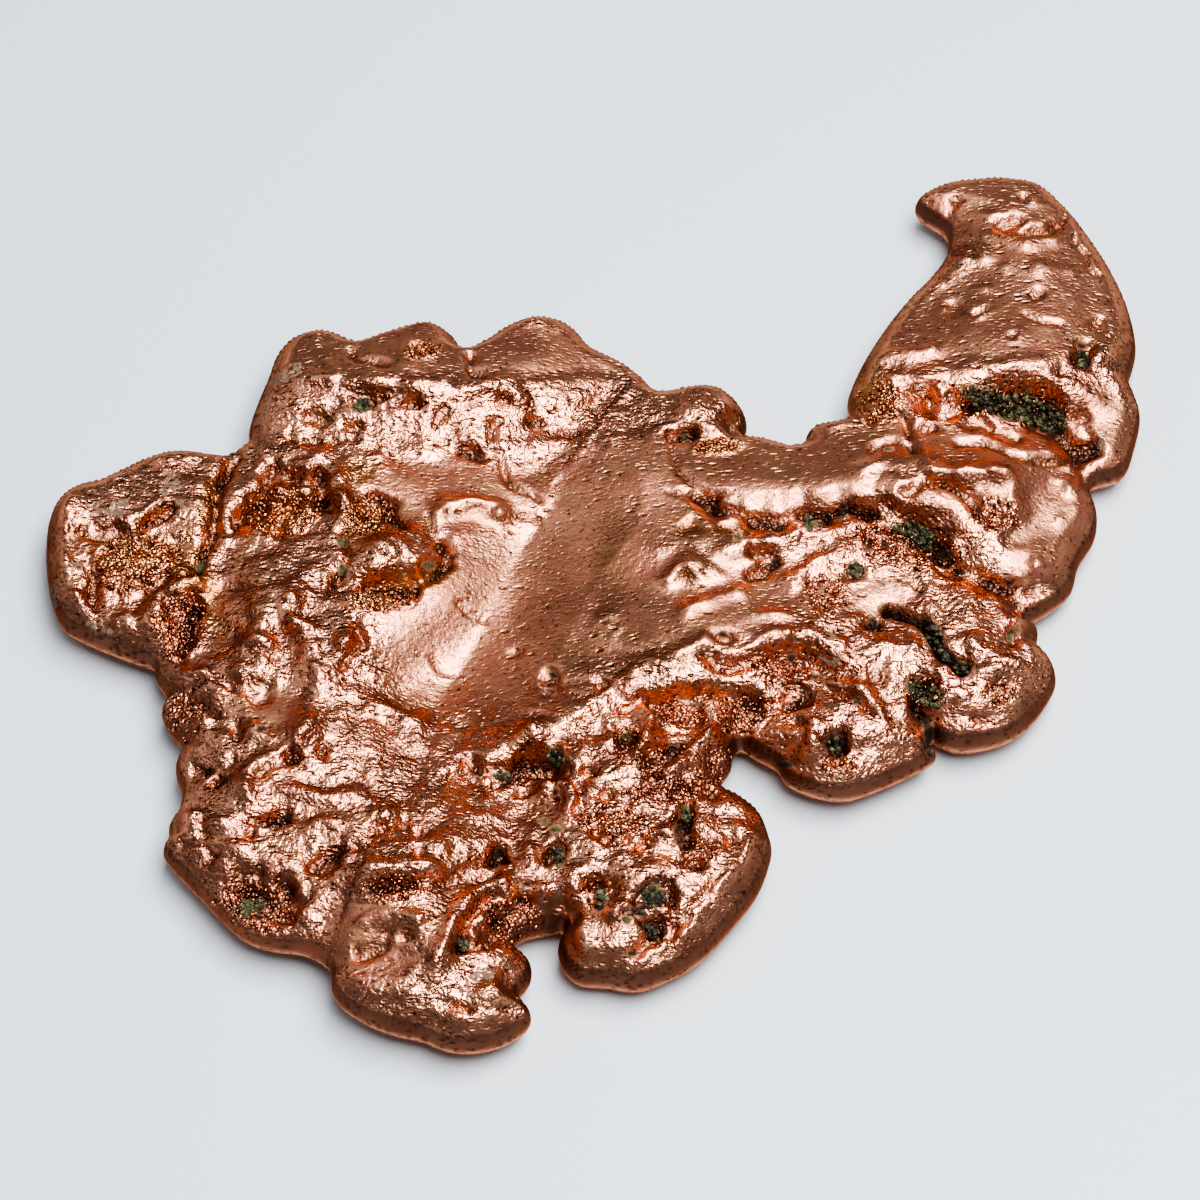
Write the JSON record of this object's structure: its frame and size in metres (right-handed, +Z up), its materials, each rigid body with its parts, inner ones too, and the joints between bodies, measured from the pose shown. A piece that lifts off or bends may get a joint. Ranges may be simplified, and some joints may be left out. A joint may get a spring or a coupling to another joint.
{
  "type": "native copper nugget",
  "caption": "Flat, lobed sheet of natural copper with a curved horn, tumbled ridges, ledges and mineral-filled pits, lying on its underside.",
  "frame": {"origin": "centre of the box that holds the nugget, on the surface it lies on", "axes": "+Z up out of the upper face, +X along the nugget's longest side, +Y towards the horn's tip"},
  "size_m": [0.1026, 0.0986, 0.0107],
  "materials": {
    "copper": "tumbled, softly shining bare copper"
  },
  "bodies": {
    "root": {"copper_nugget": "copper"}
  },
  "joints": []
}
